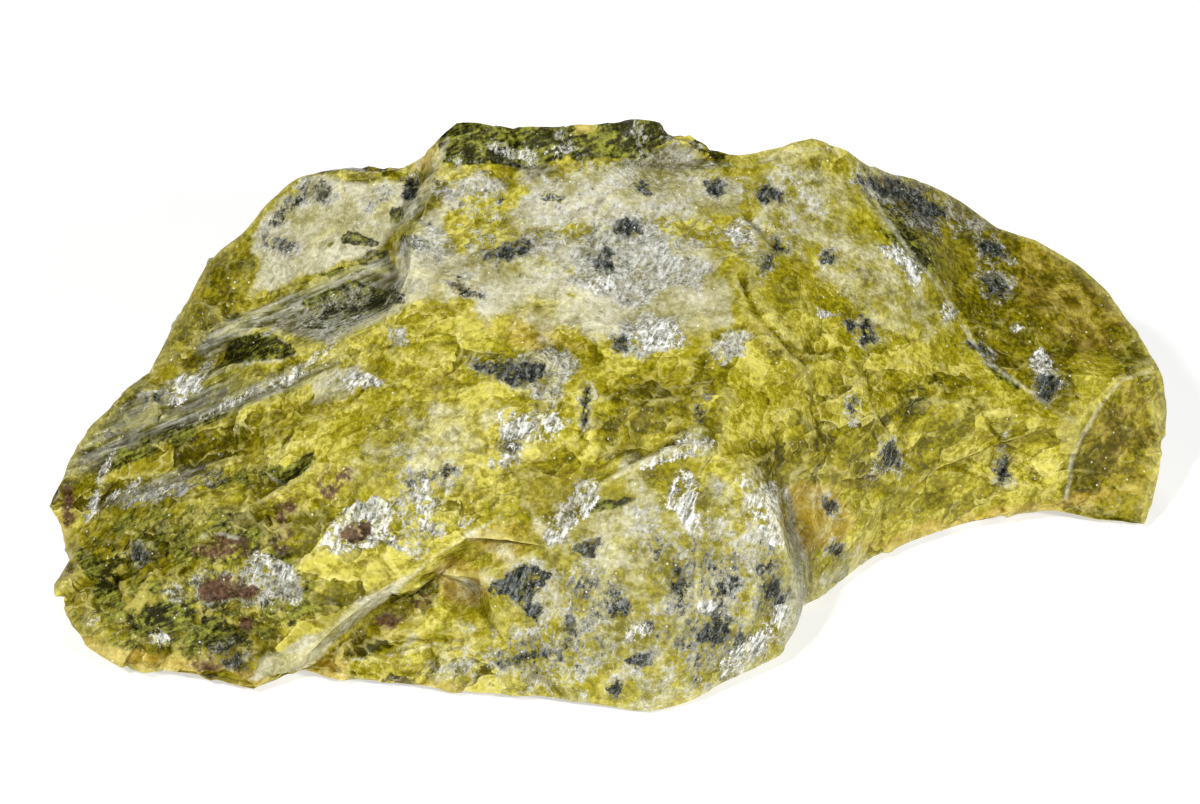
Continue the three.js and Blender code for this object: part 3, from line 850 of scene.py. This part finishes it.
# Out of sight: how wide each mineral's drifts are in millimetres, where they start and fill, and their most
HIDDEN_DRIFTS: dict[Mineral, tuple[float, float, float, float]] = {
    Mineral.CREAM: (30.0, 0.05, 0.35, 0.8),
    Mineral.FROST: (14.0, 0.25, 0.5, 0.9),
    Mineral.FIBRE: (11.0, 0.36, 0.5, 1.0),
    Mineral.INK: (10.0, 0.32, 0.46, 1.0),
    Mineral.OLIVE: (34.0, -0.05, 0.25, 0.9),
    Mineral.DEEP: (18.0, 0.28, 0.45, 0.9),
    Mineral.AMBER: (26.0, 0.22, 0.45, 0.9),
    Mineral.RUST: (14.0, 0.42, 0.55, 0.9),
}


class Number:
    """A socket that carries a number. Its operators add Math nodes."""

    def __init__(self, maker: "NodeMaker", socket: Socket) -> None:
        """Keeps the socket and the tree it belongs to."""
        self.maker = maker
        self.socket = socket

    def __add__(self, other: "Number | float") -> "Number":
        """Adds."""
        return self.maker.math("ADD", self, other)

    def __sub__(self, other: "Number | float") -> "Number":
        """Subtracts."""
        return self.maker.math("SUBTRACT", self, other)

    def __rsub__(self, other: float) -> "Number":
        """Subtracts from a plain number."""
        return self.maker.math("SUBTRACT", other, self)

    def __mul__(self, other: "Number | float") -> "Number":
        """Multiplies."""
        return self.maker.math("MULTIPLY", self, other)

    def __abs__(self) -> "Number":
        """Drops the sign."""
        return self.maker.math("ABSOLUTE", self)

    __radd__ = __add__
    __rmul__ = __mul__

    def greater(self, other: "Number | float") -> "Number":
        """Gives the greater of the two."""
        return self.maker.math("MAXIMUM", self, other)

    def eased(self, low: float, high: float) -> "Number":
        """Eases from 0 at low to 1 at high, where low may be above high."""
        first, last = (0.0, 1.0) if low < high else (1.0, 0.0)
        made = self.maker.node("ShaderNodeMapRange", {"interpolation_type": "SMOOTHSTEP"}, {
            "Value": self, "From Min": min(low, high), "From Max": max(low, high),
            "To Min": first, "To Max": last})
        return Number(self.maker, made.outputs["Result"])


class NodeMaker:
    """Adds nodes to one material or sky."""

    def __init__(self, owner: bpy.types.Material | bpy.types.World) -> None:
        """Empties the owner's node tree and keeps it."""
        owner.use_nodes = True
        self.tree = owner.node_tree
        self.tree.nodes.clear()

    def node(self, kind: str, settings: dict, inputs: dict) -> bpy.types.Node:
        """Adds a node.

        Args:
            kind: the node's type.
            settings: its properties, which are set first.
            inputs: a number, colour, vector, socket or Number for each socket's name or place.

        Returns:
            The node.
        """
        made = self.tree.nodes.new(kind)
        for name, value in settings.items():
            setattr(made, name, value)
        for key, value in inputs.items():
            source = value.socket if isinstance(value, Number) else value
            if isinstance(source, Socket):
                self.tree.links.new(source, made.inputs[key])
            else:
                made.inputs[key].default_value = source
        return made

    def math(self, operation: str, *values: Number | float) -> Number:
        """Adds a Math node."""
        made = self.node("ShaderNodeMath", {"operation": operation}, dict(enumerate(values)))
        return Number(self, made.outputs[0])

    def vector(self, operation: str, first: object, second: object) -> bpy.types.Node:
        """Adds a Vector Math node."""
        return self.node("ShaderNodeVectorMath", {"operation": operation}, {0: first, 1: second})

    def dot(self, first: object, second: object) -> Number:
        """Adds the dot product of two vectors."""
        return Number(self, self.vector("DOT_PRODUCT", first, second).outputs["Value"])

    def scaled(self, vector: object, scale: Number | float) -> Socket:
        """Adds a vector times a number."""
        made = self.node("ShaderNodeVectorMath", {"operation": "SCALE"}, {0: vector, "Scale": scale})
        return made.outputs[0]

    def share(self, name: str) -> Number:
        """Reads a number from one of the mesh's attributes."""
        return Number(self, self.node("ShaderNodeAttribute", {"attribute_name": name}, {}).outputs["Fac"])

    def noise(self, place: Socket, across: float, detail: float, bend: float = 0.0,
              rough: float = 0.55) -> Number:
        """Adds noise from 0 to 1 whose lumps are a given size across, in millimetres."""
        made = self.node("ShaderNodeTexNoise", {}, {
            "Vector": place, "Scale": 1.0 / across, "Detail": detail, "Roughness": rough, "Distortion": bend})
        return Number(self, made.outputs["Fac"])

    def strands(self, place: Socket, across: float) -> Number:
        """Adds thin winding lines, 1 along them and 0 between: where smooth noise passes its middle value."""
        return abs(self.noise(place, across, 2.0, 0.6, 0.5) - 0.5).eased(0.055, 0.005)

    def squeezed(self, place: Socket, way: Triple, amount: float) -> Socket:
        """Squeezes places along a way, which draws noise out: place - way * (place . way) * amount."""
        along = self.dot(place, way)
        return self.vector("SUBTRACT", place, self.scaled(way, along * amount)).outputs[0]

    def dots(self, place: Socket, gap: float, across: float) -> Number:
        """Adds scattered round dots, 1 inside them: near the middle of every second cell or so."""
        cells = self.node("ShaderNodeTexVoronoi", {"feature": "F1"}, {"Vector": place, "Scale": 1.0 / gap})
        pick = self.dot(cells.outputs["Color"], (1.0, 0.0, 0.0))
        edge = across / gap / 2
        return Number(self, cells.outputs["Distance"]).eased(edge * 1.3, edge * 0.7) * pick.eased(0.5, 0.6)

    def blend(self, factor: Number, first: Socket | Colour, second: Socket | Colour,
              mode: str = "MIX") -> Socket:
        """Mixes two colours, each a socket or a display colour."""
        sides = [linear(side) if isinstance(side, tuple) else side for side in (first, second)]
        made = self.node("ShaderNodeMix", {"data_type": "RGBA", "blend_type": mode}, {
            0: factor, 6: sides[0], 7: sides[1]})
        return made.outputs[2]


@dataclass(frozen=True)
class Flakes:
    """What the finish knows of one size of flake at each place, with a pale rim and painted highlight along
    its raised edge and painted shade in its low edge.
    """

    tone: Number
    rise: Number
    rim_and_highlight: Number
    crevice_shade: Number


@dataclass(frozen=True)
class Noises:
    """Noise from 0 to 1, in several sizes and directions, that all parts of the finish share."""

    broad: Number
    broken: Number
    middle: Number
    fine: Number
    powder: Number
    streak: Number
    combed: Number
    strands: Number


@dataclass(frozen=True)
class Tones:
    """The shared noise with more contrast, as the colours use it."""

    broad: Number
    broken: Number
    mottle: Number
    grain: Number
    streak: Number
    silk: Number

    @classmethod
    def drawn_from(cls, noises: Noises) -> "Tones":
        """Draws out the contrast of the shared noise."""
        return cls(
            broad=noises.broad.eased(0.32, 0.68),
            broken=noises.broken.eased(0.40, 0.58),
            mottle=noises.middle.eased(0.36, 0.66),
            grain=noises.powder.eased(0.34, 0.66),
            streak=noises.streak.eased(0.34, 0.66),
            silk=noises.combed.eased(0.40, 0.64),
        )


# How each mineral's edge breaks up: fill, shift by middling and by fine noise, and where it starts and fills
EDGES: dict[Mineral, tuple[float, float, float, float, float]] = {
    Mineral.CREAM: (1.0, 1.8, 0.9, 0.08, 1.0),
    Mineral.FROST: (1.05, 2.2, 1.8, 0.20, 0.95),
    Mineral.FIBRE: (1.0, 2.2, 3.0, 0.26, 1.0),
    Mineral.INK: (1.15, 2.2, 2.6, 0.14, 1.0),
    Mineral.OLIVE: (1.2, 1.2, 0.5, 0.22, 0.65),
    Mineral.DEEP: (1.0, 1.4, 0.8, 0.28, 0.60),
    Mineral.AMBER: (1.0, 1.4, 0.6, 0.05, 1.10),
    Mineral.RUST: (1.25, 2.0, 2.4, 0.12, 0.90),
}


@dataclass
class JadeFinish:
    """Waxy yellow-green jade with pale, frosty, inky and rusty minerals, with painted highlights and glints
    on its edges and painted shade in its crevices and grooves. Colours are as seen on a display.
    """

    green_dark: Colour = (104, 97, 2)
    green: Colour = (154, 145, 18)
    green_light: Colour = (204, 194, 80)
    olive: Colour = (66, 60, 0)
    olive_light: Colour = (144, 133, 8)
    deep: Colour = (20, 24, 0)
    deep_light: Colour = (146, 148, 56)
    cream_dark: Colour = (150, 143, 84)
    cream: Colour = (186, 181, 140)
    cream_light: Colour = (236, 233, 214)
    grey: Colour = (90, 92, 80)
    slip_dark: Colour = (58, 60, 30)
    slip_light: Colour = (172, 174, 166)
    silver: Colour = (158, 160, 148)
    fibre: Colour = (206, 206, 192)
    white: Colour = (250, 250, 246)
    ink: Colour = (10, 14, 8)
    ink_mid: Colour = (54, 59, 50)
    ink_light: Colour = (196, 200, 198)
    amber: Colour = (164, 130, 24)
    amber_light: Colour = (214, 190, 100)
    rust: Colour = (50, 30, 18)
    rust_light: Colour = (116, 84, 60)
    # Pale broken rims with a painted highlight, on flake edges and ridges
    rim_and_highlight: Colour = (230, 221, 140)
    shear: Triple = (0.88, 0.0, 0.47)
    fibre_way: Triple = (0.36, 0.56, 0.75)
    flake_sizes: tuple[float, ...] = (5.2, 2.0)
    flake_slopes: tuple[float, ...] = (0.40, 0.52)
    lean_middle: Triple = (0.65, 0.6, 0.4)
    warp_scale: float = 0.45
    warp_reach: Triple = (2.0, 2.0, 2.0)
    splinter_squeeze: float = 0.45
    streak_squeeze: float = 0.93
    fan_squeeze: float = 0.38
    comb_squeeze: float = 0.82
    bump_mm: float = 1.2
    refraction: float = 1.56
    gloss: float = 0.14
    olive_cover: float = 0.85
    amber_cover: float = 0.8
    # How strongly the pale rims with painted highlights and the painted crevice shade show
    rim_and_highlight_cover: float = 0.65
    crevice_shade_cover: float = 0.50
    cloud_cover: float = 0.45
    cream_cover: float = 0.86
    slick_cover: float = 0.8
    deep_cover: float = 0.95
    frost_cover: float = 0.85
    rust_cover: float = 0.97
    # How strongly the painted glints show
    painted_glint_cover: float = 0.8
    # How strongly ridges are painted paler, partly as worn edges and partly as painted highlight, and how
    # strongly the grain and the grooves are darkened, the grooves as painted shade
    ridge_wear_and_highlight_cover: float = 0.28
    grain_shade: float = 0.28
    groove_shade: float = 0.45

    def build(self) -> bpy.types.Material:
        """Makes the material.

        Returns:
            A Principled material whose colour, roughness and bump come from noise and the mesh's attributes.
        """
        material = bpy.data.materials.new("raw_jade")
        make = NodeMaker(material)
        self.make = make
        local = make.node("ShaderNodeTexCoord", {}, {}).outputs["Object"]
        self.place = make.scaled(local, 1.0 / MM)
        warp = make.node("ShaderNodeTexNoise", {}, {
            "Vector": self.place, "Scale": self.warp_scale, "Detail": 2.0})
        push = make.vector("SUBTRACT", warp.outputs["Color"], (0.5, 0.5, 0.5)).outputs[0]
        pushed = make.node("ShaderNodeVectorMath", {"operation": "MULTIPLY_ADD"}, {
            0: push, 1: self.warp_reach, 2: self.place}).outputs[0]
        splintered = make.squeezed(pushed, self.shear, self.splinter_squeeze)
        self.sizes = [self.flakes(splintered, across) for across in self.flake_sizes]
        self.noises = self.shared_noises()
        self.tones = Tones.drawn_from(self.noises)
        self.masks = self.broken_masks()
        bump = make.node("ShaderNodeBump", {}, {
            "Strength": 1.0, "Distance": self.bump_mm * MM, "Height": self.height()})
        shader = make.node("ShaderNodeBsdfPrincipled", {}, {
            "Base Color": self.colour(), "Roughness": self.roughness(), "IOR": self.refraction,
            "Specular IOR Level": self.gloss, "Normal": bump.outputs["Normal"]})
        make.node("ShaderNodeOutputMaterial", {}, {"Surface": shader.outputs["BSDF"]})
        return material

    def shared_noises(self) -> Noises:
        """Adds the noise that colour, roughness and height share.

        Returns:
            Clouds, mottling, specks and grain, streaks along the shear, and silky lines along the fibres.
        """
        make, place = self.make, self.place
        streaked = make.squeezed(place, self.shear, self.streak_squeeze)
        fanned = make.squeezed(place, self.fibre_way, self.fan_squeeze)
        combed = make.squeezed(place, self.fibre_way, self.comb_squeeze)
        return Noises(
            broad=make.noise(place, 8.0, 2.0),
            broken=make.noise(place, 4.0, 2.0),
            middle=make.noise(place, 2.5, 3.0, 0.0, 0.63),
            fine=make.noise(place, 0.9, 3.0, 0.0, 0.7),
            powder=make.noise(place, 0.65, 2.0, 0.0, 0.65),
            streak=make.noise(streaked, 0.55, 2.0, 0.0, 0.6),
            combed=make.noise(combed, 0.5, 2.0, 0.0, 0.6),
            strands=make.strands(fanned, 1.3).greater(make.strands(place, 0.9) * 0.9),
        )

    def broken_masks(self) -> dict[str, Number]:
        """Reads each mineral's share and breaks up its edge with noise.

        Returns:
            A mask for each mineral and form, by attribute name.
        """
        make, noises = self.make, self.noises
        drift = (noises.broad - 0.5) * 0.9
        middle = noises.middle - 0.5
        fine = noises.fine - 0.5
        found = {}
        for mineral, (fill, coarse, close, low, high) in EDGES.items():
            share = make.share(mineral.value) * fill
            wobble = middle * coarse + fine * close
            if mineral in (Mineral.FIBRE, Mineral.INK, Mineral.FROST):
                wobble = wobble + (noises.strands - 0.45) * 0.5
            if mineral in (Mineral.CREAM, Mineral.FROST):
                wobble = wobble + drift
            found[mineral.value] = (share + wobble * share.eased(0.0, 0.3)).eased(low, high)
        found.update({form.value: make.share(form.value) for form in Form})
        return found

    def flakes(self, place: Socket, across: float) -> Flakes:
        """Splits the surface into small flat flakes that lean different ways.

        Args:
            place: the place on the stone, in millimetres.
            across: the size of a flake, in millimetres.

        Returns:
            The flakes' tone, height, pale raised rim (partly a pale broken edge, partly a painted highlight)
            and painted shade along the low edge.
        """
        make = self.make
        where = {"Vector": place, "Scale": 1.0 / across}
        cells = make.node("ShaderNodeTexVoronoi", {"feature": "F1"}, where)
        edges = make.node("ShaderNodeTexVoronoi", {"feature": "DISTANCE_TO_EDGE"}, where)
        lean = make.vector("SUBTRACT", cells.outputs["Color"], self.lean_middle).outputs[0]
        offset = make.vector("SUBTRACT", place, cells.outputs["Position"]).outputs[0]
        rise = make.dot(offset, lean)
        edge = Number(make, edges.outputs["Distance"])
        steep = 0.10 * across
        return Flakes(
            tone=make.dot(cells.outputs["Color"], (0.0, 1.0, 0.0)),
            rise=rise,
            rim_and_highlight=edge.eased(0.30 / across, 0.06 / across) * rise.eased(0.0, steep),
            crevice_shade=edge.eased(0.34 / across, 0.0) * rise.eased(0.0, -steep),
        )

    def ground(self) -> Socket:
        """Gives the green stone that lies under the other minerals, with its olive and amber parts. Each
        flake is painted lighter towards its raised edge as painted light, its pale rim carries a painted
        highlight, and the crevice below the edge gets painted shade in olive.

        Returns:
            The colour's socket.
        """
        make, tones, masks = self.make, self.tones, self.masks
        wide, close = self.sizes
        flaky = masks["flaky"]
        shade = tones.broad * 0.14 + tones.mottle * 0.15 + tones.grain * 0.22
        shade = shade + (wide.tone + close.tone) * (flaky * 0.2 + 0.04)
        # Painted light: each flake grows lighter towards its raised edge, as if lit through its thin edge
        shade = shade + (wide.rise * 0.10 + close.rise * 0.18) * (flaky * 1.1 + 0.2) + 0.14
        # Pale broken rims with a painted highlight along each flake's raised edge
        rims_and_highlights = wide.rim_and_highlight.greater(close.rim_and_highlight * 0.8) * tones.broken * (flaky * 0.7 + 0.2)
        # Painted shade in the crevice below each flake's edge
        crevice_shades = wide.crevice_shade.greater(close.crevice_shade * 0.5) * flaky
        green = make.blend(shade.eased(0.15, 0.48), self.green_dark, self.green)
        base = make.blend(shade.eased(0.45, 0.80), green, self.green_light)
        # Olive: partly the stone's own colour, partly painted shade near edge-on edges and on the right-back
        # face
        olive = make.blend(shade.eased(0.25, 0.75), self.olive, self.olive_light)
        base = make.blend(masks["olive"] * self.olive_cover, base, olive)
        # Amber: partly the stone's own colour, partly painted glow of light through edge-on edges and lower
        # rims
        amber = make.blend(tones.mottle, self.amber, self.amber_light)
        base = make.blend(masks["amber"] * self.amber_cover, base, amber)
        # Pale rims with painted highlights, then painted crevice shade in olive
        base = make.blend(rims_and_highlights * self.rim_and_highlight_cover, base, self.rim_and_highlight)
        return make.blend(crevice_shades * self.crevice_shade_cover, base, self.olive)

    def colour(self) -> Socket:
        """Lays the minerals' colours over each other, then adds painted glints.

        Returns:
            The colour's socket.
        """
        make, tones, masks = self.make, self.tones, self.masks
        mottle, grain, streak, silk = tones.mottle, tones.grain, tones.streak, tones.silk
        spots, needle = self.noises.fine, self.noises.strands
        base = self.ground()
        pale = make.blend(mottle, self.cream_dark, self.cream)
        pale = make.blend(tones.broad * 0.60 + grain * 0.15, pale, self.cream_light)
        pale = make.blend(spots.eased(0.62, 0.70) * 0.6, pale, self.slip_dark)
        base = make.blend(make.share(Mineral.CREAM.value) * self.cloud_cover, base, self.cream_dark)
        base = make.blend(masks["cream"] * self.cream_cover, base, pale)
        slip = make.blend(streak, self.slip_dark, self.slip_light)
        base = make.blend(masks["slick"] * self.slick_cover, base, slip)
        glass = (streak * 0.35 + mottle * 0.40 + grain * 0.25).eased(0.30, 0.95)
        dark = make.blend(glass, self.deep, self.deep_light)
        base = make.blend(masks["deep"] * self.deep_cover, base, dark)
        frost = make.blend(mottle * 0.4 + grain * 0.6, self.grey, self.silver)
        frost = make.blend(spots.eased(0.58, 0.66), frost, self.ink_mid)
        frost = make.blend(needle * 0.3 + silk * 0.35, frost, self.white)
        base = make.blend(masks["frost"] * self.frost_cover, base, frost)
        ink = make.blend(grain, self.ink, self.ink_mid)
        ink = make.blend(silk * needle * 0.4, ink, self.ink_light)
        base = make.blend(masks["ink"], base, ink)
        silver = make.blend(grain * 0.5 + needle * 0.5, self.grey, self.fibre)
        silver = make.blend(spots.eased(0.60, 0.66) * 0.7, silver, self.ink_mid)
        silver = make.blend(masks["fibre"].eased(0.20, 0.80) * silk, silver, self.white)
        base = make.blend(masks["fibre"], base, silver)
        rust = make.blend(grain * 0.6 + mottle * 0.4, self.rust, self.rust_light)
        base = make.blend(masks["rust"] * self.rust_cover, base, rust)
        # Painted glints: scattered white dots that stand in for tiny highlights
        painted_glints = make.dots(self.place, 1.0, 0.22) * (1.0 - tones.broken * 0.5)
        base = make.blend(painted_glints * self.painted_glint_cover, base, self.white)
        return self.wear_and_painted_light(base)

    def wear_and_painted_light(self, base: Socket) -> Socket:
        """Makes ridges and lips paler, partly as worn edges and partly as painted highlight, and paints
        grooves darker as painted shade and the grain darker.

        Args:
            base: the colour so far.

        Returns:
            The colour's socket.
        """
        make, tones, masks = self.make, self.tones, self.masks
        ridge = masks["ridge"].eased(0.60, 0.90).greater(masks["swell"].eased(0.62, 0.95) * 0.4)
        painted_groove_shade = masks["ridge"].eased(0.40, 0.10).greater(masks["swell"].eased(0.42, 0.05))
        lip_wear_and_highlight = masks["lip_wear_and_highlight"].eased(0.4, 1.0) * (tones.mottle * 0.45 + 0.05)
        # Painted highlight on ridges, with pale worn edges
        base = make.blend(ridge * (1.0 - masks["deep"]) * self.ridge_wear_and_highlight_cover, base, self.rim_and_highlight)
        # Pale lines along the edges: partly worn edges, partly painted highlight
        base = make.blend(lip_wear_and_highlight, base, self.cream_light)
        base = make.blend((1.0 - tones.grain) * self.grain_shade, base, self.olive_light, "MULTIPLY")
        # Painted shade in grooves and hollows
        return make.blend(painted_groove_shade * self.groove_shade, base, self.olive_light, "MULTIPLY")

    def roughness(self) -> Number:
        """Gives a waxy gloss, glassier in the dark greens and dull on the white fibres."""
        masks = self.masks
        rough = 0.06 + self.noises.middle * 0.24 + masks["cream"] * 0.08 + masks["fibre"] * 0.22
        glassy = rough - masks["deep"] * 0.10 - masks["olive"] * 0.05 - masks["slick"] * 0.08
        return glassy.greater(0.12)

    def height(self) -> Number:
        """Gives the fine relief in millimetres: flakes, grain, fibres and slip streaks."""
        make, noises, masks = self.make, self.noises, self.masks
        total = noises.powder * 0.28
        for flakes, slope in zip(self.sizes, self.flake_slopes):
            total = total + flakes.rise * slope * masks["flaky"]
        crumbs = make.noise(self.place, 0.4, 1.0)
        hairy = make.share(Mineral.FROST.value)
        for mineral in (Mineral.FIBRE, Mineral.INK):
            hairy = hairy.greater(make.share(mineral.value))
        calm = 1.0 - masks["slick"] * 0.6
        return total * calm + crumbs * hairy * 0.35 + noises.streak * masks["slick"] * 0.22


@dataclass(frozen=True)
class SoftLight:
    """A square soft light that faces the stone."""

    name: str
    place: Triple
    size: float
    watts: float


@dataclass(frozen=True)
class Studio:
    """A pale floor under soft white light."""

    view: PhotoView
    floor_size: float = 0.8
    floor_colour: Colour = (205, 205, 204)
    floor_glow: float = 0.55
    sky_strength: float = 0.08
    backdrop_strength: float = 1.0
    lights: tuple[SoftLight, ...] = (
        SoftLight("key_light", (-0.32, -0.52, 0.68), 0.09, 5.9),
        SoftLight("right_light", (0.45, -0.58, 0.52), 0.08, 5.0),
        SoftLight("back_light", (-0.10, 0.60, 0.70), 0.15, 1.5),
    )

    def build(self) -> None:
        """Adds the floor, the lights, the sky and the camera."""
        self.add_floor()
        for light in self.lights:
            self.add_light(light)
        self.add_sky()
        self.view.add_camera()
        bpy.context.scene.view_settings.view_transform = "Standard"
        bpy.context.scene.view_settings.look = "None"

    def add_floor(self) -> bpy.types.Object:
        """Lays a flat square under the stone: x and y are the two parameters, and z is just below 0."""
        across = np.linspace(-0.5, 0.5, 2) * self.floor_size
        x, y = np.meshgrid(across, across)
        corners = np.stack([x.ravel(), y.ravel(), np.full(4, -0.05 * MM)], axis=1)
        mesh = bpy.data.meshes.new("pale_floor")
        mesh.from_pydata(corners.tolist(), [], [(0, 1, 3, 2)])
        floor = bpy.data.objects.new("pale_floor", mesh)
        bpy.context.scene.collection.objects.link(floor)
        material = bpy.data.materials.new("pale_floor")
        make = NodeMaker(material)
        shader = make.node("ShaderNodeBsdfPrincipled", {}, {
            "Base Color": linear(self.floor_colour), "Roughness": 0.9, "Specular IOR Level": 0.1,
            "Emission Color": (1.0, 1.0, 1.0, 1.0), "Emission Strength": self.floor_glow})
        make.node("ShaderNodeOutputMaterial", {}, {"Surface": shader.outputs["BSDF"]})
        mesh.materials.append(material)
        return floor

    def add_light(self, light: SoftLight) -> bpy.types.Object:
        """Hangs one soft light, turned to the stone."""
        lamp = bpy.data.lights.new(light.name, "AREA")
        lamp.energy = light.watts
        lamp.size = light.size
        holder = bpy.data.objects.new(light.name, lamp)
        holder.location = light.place
        aim = Vector((0.0, 0.0, 0.02)) - Vector(light.place)
        holder.rotation_euler = aim.to_track_quat("-Z", "Y").to_euler()
        bpy.context.scene.collection.objects.link(holder)
        return holder

    def add_sky(self) -> bpy.types.World:
        """Surrounds the scene with even white: dim where it lights the stone, and bright as a backdrop."""
        world = bpy.data.worlds.new("white_studio")
        make = NodeMaker(world)
        looked_at = Number(make, make.node("ShaderNodeLightPath", {}, {}).outputs["Is Camera Ray"])
        strength = looked_at * (self.backdrop_strength - self.sky_strength) + self.sky_strength
        sky = make.node("ShaderNodeBackground", {}, {"Color": (1.0, 1.0, 1.0, 1.0), "Strength": strength})
        make.node("ShaderNodeOutputWorld", {}, {"Surface": sky.outputs["Background"]})
        bpy.context.scene.world = world
        return world


def main() -> None:
    """Builds the stone, dresses it and lights it."""
    view = PhotoView()
    stone = Boulder(view).build()
    LOG.info("%s: %d triangles", stone.name, len(stone.data.polygons))
    stone.data.materials.append(JadeFinish().build())
    LOG.info("%s: dressed in %s", stone.name, stone.data.materials[0].name)
    Studio(view).build()
    LOG.info("floor, lights and camera")


if __name__ == "__main__":
    main()
